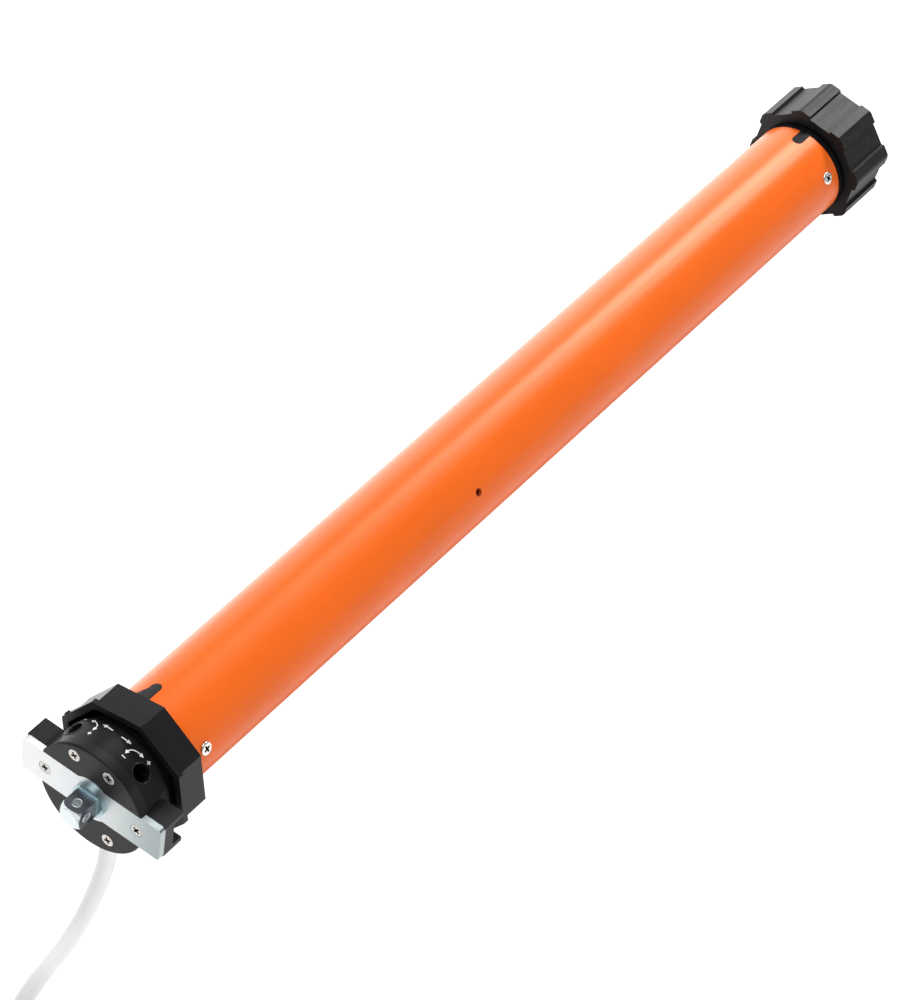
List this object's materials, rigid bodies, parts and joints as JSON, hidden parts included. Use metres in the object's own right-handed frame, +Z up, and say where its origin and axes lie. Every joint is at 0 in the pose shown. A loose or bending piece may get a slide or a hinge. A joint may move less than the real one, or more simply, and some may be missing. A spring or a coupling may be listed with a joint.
{
  "type": "roller shutter tubular motor",
  "caption": "Tubular motor for a roller shutter: orange steel tube, black head with square pin and limit crown, octagonal drive wheel, white cable coiled beneath.",
  "frame": {"origin": "on the motor axis at the front face of the mounting plate, where the square pin starts", "axes": "+X along the tube from the head to the drive wheel, +Z up through the limit setting side of the head, +Y to the head's left seen from behind the plate"},
  "size_m": [0.7292, 0.1235, 0.1148],
  "materials": {
    "orange_paint": "satin powder coat",
    "black_moulding": "fine matte",
    "zinc_plate": "bright zinc plating",
    "nickel_screw": "nickel plated",
    "white_sheath": "smooth PVC",
    "core_sheath": "smooth PVC",
    "black_tie": "nylon",
    "black_rubber": "matte",
    "white_acetal": "moulded",
    "red_switch": "moulded",
    "ivory_block": "moulded",
    "white_can": "moulded can",
    "grey_steel": "sintered or laminated steel",
    "bright_steel": "ground",
    "copper": "enamelled wire",
    "aluminium_cast": "die cast",
    "bronze": "sintered bronze",
    "friction_lining": "lining"
  },
  "bodies": {
    "motor_body": {"tube": "orange_paint", "head_housing": "black_moulding", "head_cover": "black_moulding", "mounting_plate": "zinc_plate", "square_pin": "zinc_plate", "plate_screws": "nickel_screw", "cover_screws": "nickel_screw", "tube_screws": "nickel_screw", "tube_adapter": "black_moulding", "terminal_block": "ivory_block", "cable_grommet": "black_rubber", "cable": "white_sheath", "cable_coil": "white_sheath", "cable_tie": "black_tie", "cable_cores": "core_sheath", "limit_axles": "bright_steel", "limit_switches": "red_switch", "capacitor": "white_can", "capacitor_holder": "black_moulding", "brake_housing": "grey_steel", "brake_coil": "copper", "brake_spring": "bright_steel", "stator_core": "grey_steel", "windings": "copper", "rear_bell": "aluminium_cast", "front_bell": "aluminium_cast", "bearings": "bright_steel", "ring_gear": "grey_steel", "output_bush": "bronze", "gearbox_end": "black_moulding"},
    "crown": {"crown": "black_moulding"},
    "limit_pinion": {"limit_pinion": "white_acetal"},
    "limit_idler": {"limit_idler": "white_acetal"},
    "limit_cam_up": {"limit_cam_up": "white_acetal"},
    "limit_cam_down": {"limit_cam_down": "white_acetal"},
    "plunger_up": {"plunger_up": "white_acetal"},
    "plunger_down": {"plunger_down": "white_acetal"},
    "adjuster_up": {"adjuster_up": "black_moulding"},
    "adjuster_down": {"adjuster_down": "black_moulding"},
    "brake_armature": {"brake_armature": "grey_steel"},
    "rotor": {"rotor_shaft": "bright_steel", "rotor_core": "grey_steel", "rotor_cage": "aluminium_cast", "brake_disc": "friction_lining", "sun_1": "bright_steel"},
    "carrier_1": {"carrier_1": "bright_steel"},
    "carrier_2": {"carrier_2": "bright_steel"},
    "output_drive": {"output_shaft": "bright_steel", "drive_wheel": "black_moulding", "wheel_retainer": "nickel_screw"},
    "planet_1a": {"planet_1a": "white_acetal"},
    "planet_1b": {"planet_1b": "white_acetal"},
    "planet_1c": {"planet_1c": "white_acetal"},
    "planet_2a": {"planet_2a": "grey_steel"},
    "planet_2b": {"planet_2b": "grey_steel"},
    "planet_2c": {"planet_2c": "grey_steel"},
    "planet_3a": {"planet_3a": "grey_steel"},
    "planet_3b": {"planet_3b": "grey_steel"},
    "planet_3c": {"planet_3c": "grey_steel"}
  },
  "joints": [
    {"name": "drive_spin", "type": "hinge", "parent": "motor_body", "child": "output_drive", "pos_m": [0.53, 0, 0], "axis": [1, 0, 0], "continuous": true},
    {"name": "planet_3a_spin", "type": "hinge", "parent": "output_drive", "child": "planet_3a", "pos_m": [0.47815, 0.0105, 0], "axis": [1, 0, 0], "continuous": true},
    {"name": "planet_3b_spin", "type": "hinge", "parent": "output_drive", "child": "planet_3b", "pos_m": [0.47815, -0.00525, 0.00909], "axis": [1, 0, 0], "continuous": true},
    {"name": "planet_3c_spin", "type": "hinge", "parent": "output_drive", "child": "planet_3c", "pos_m": [0.47815, -0.00525, -0.00909], "axis": [1, 0, 0], "continuous": true},
    {"name": "planet_2a_spin", "type": "hinge", "parent": "carrier_2", "child": "planet_2a", "pos_m": [0.46605, 0.0105, 0], "axis": [1, 0, 0], "continuous": true},
    {"name": "planet_2b_spin", "type": "hinge", "parent": "carrier_2", "child": "planet_2b", "pos_m": [0.46605, -0.00525, 0.00909], "axis": [1, 0, 0], "continuous": true},
    {"name": "planet_2c_spin", "type": "hinge", "parent": "carrier_2", "child": "planet_2c", "pos_m": [0.46605, -0.00525, -0.00909], "axis": [1, 0, 0], "continuous": true},
    {"name": "planet_1a_spin", "type": "hinge", "parent": "carrier_1", "child": "planet_1a", "pos_m": [0.45395, 0.0105, 0], "axis": [1, 0, 0], "continuous": true},
    {"name": "planet_1b_spin", "type": "hinge", "parent": "carrier_1", "child": "planet_1b", "pos_m": [0.45395, -0.00525, 0.00909], "axis": [1, 0, 0], "continuous": true},
    {"name": "planet_1c_spin", "type": "hinge", "parent": "carrier_1", "child": "planet_1c", "pos_m": [0.45395, -0.00525, -0.00909], "axis": [1, 0, 0], "continuous": true},
    {"name": "carrier_2_spin", "type": "hinge", "parent": "motor_body", "child": "carrier_2", "pos_m": [0.472, 0, 0], "axis": [1, 0, 0], "continuous": true},
    {"name": "carrier_1_spin", "type": "hinge", "parent": "motor_body", "child": "carrier_1", "pos_m": [0.46, 0, 0], "axis": [1, 0, 0], "continuous": true},
    {"name": "rotor_spin", "type": "hinge", "parent": "motor_body", "child": "rotor", "pos_m": [0.39, 0, 0], "axis": [1, 0, 0], "continuous": true},
    {"name": "crown_spin", "type": "hinge", "parent": "motor_body", "child": "crown", "pos_m": [0.02775, 0, 0], "axis": [1, 0, 0], "continuous": true},
    {"name": "limit_pinion_spin", "type": "hinge", "parent": "motor_body", "child": "limit_pinion", "pos_m": [0.0228, 0, 0.012], "axis": [1, 0, 0], "continuous": true},
    {"name": "limit_idler_spin", "type": "hinge", "parent": "motor_body", "child": "limit_idler", "pos_m": [0.0262, 0, 0], "axis": [1, 0, 0], "continuous": true},
    {"name": "limit_cam_up_spin", "type": "hinge", "parent": "motor_body", "child": "limit_cam_up", "pos_m": [0.0292, 0.01, 0], "axis": [1, 0, 0], "continuous": true},
    {"name": "limit_cam_down_spin", "type": "hinge", "parent": "motor_body", "child": "limit_cam_down", "pos_m": [0.0292, -0.01, 0], "axis": [1, 0, 0], "continuous": true},
    {"name": "adjuster_up_turn", "type": "hinge", "parent": "motor_body", "child": "adjuster_up", "pos_m": [0.01, 0.01284, 0.01401], "axis": [0, 0.6756, 0.7373], "continuous": true},
    {"name": "adjuster_down_turn", "type": "hinge", "parent": "motor_body", "child": "adjuster_down", "pos_m": [0.01, -0.01183, 0.01487], "axis": [0, -0.6225, 0.7826], "continuous": true},
    {"name": "brake_release", "type": "slide", "parent": "motor_body", "child": "brake_armature", "axis": [-1, 0, 0], "range_m": [0, 0.00035], "stiffness_N_per_m": 3000, "springref_m": -0.004},
    {"name": "plunger_up_press", "type": "slide", "parent": "motor_body", "child": "plunger_up", "axis": [0, 0, -1], "range_m": [0, 0.0006], "stiffness_N_per_m": 400, "springref_m": -0.0005},
    {"name": "plunger_down_press", "type": "slide", "parent": "motor_body", "child": "plunger_down", "axis": [0, 0, -1], "range_m": [0, 0.0006], "stiffness_N_per_m": 400, "springref_m": -0.0005}
  ],
  "couplings": [
    {"joint": "planet_3a_spin", "follows": "drive_spin", "ratio": -2.6667},
    {"joint": "planet_3b_spin", "follows": "drive_spin", "ratio": -2.6667},
    {"joint": "planet_3c_spin", "follows": "drive_spin", "ratio": -2.6667},
    {"joint": "planet_2a_spin", "follows": "drive_spin", "ratio": -13.333},
    {"joint": "planet_2b_spin", "follows": "drive_spin", "ratio": -13.333},
    {"joint": "planet_2c_spin", "follows": "drive_spin", "ratio": -13.333},
    {"joint": "planet_1a_spin", "follows": "drive_spin", "ratio": -66.667},
    {"joint": "planet_1b_spin", "follows": "drive_spin", "ratio": -66.667},
    {"joint": "planet_1c_spin", "follows": "drive_spin", "ratio": -66.667},
    {"joint": "carrier_2_spin", "follows": "drive_spin", "ratio": 5},
    {"joint": "carrier_1_spin", "follows": "drive_spin", "ratio": 25},
    {"joint": "rotor_spin", "follows": "drive_spin", "ratio": 125},
    {"joint": "limit_pinion_spin", "follows": "crown_spin", "ratio": 2.1538},
    {"joint": "limit_idler_spin", "follows": "crown_spin", "ratio": -0.43077},
    {"joint": "limit_cam_up_spin", "follows": "crown_spin", "ratio": 0.10769},
    {"joint": "limit_cam_down_spin", "follows": "crown_spin", "ratio": 0.10769}
  ]
}
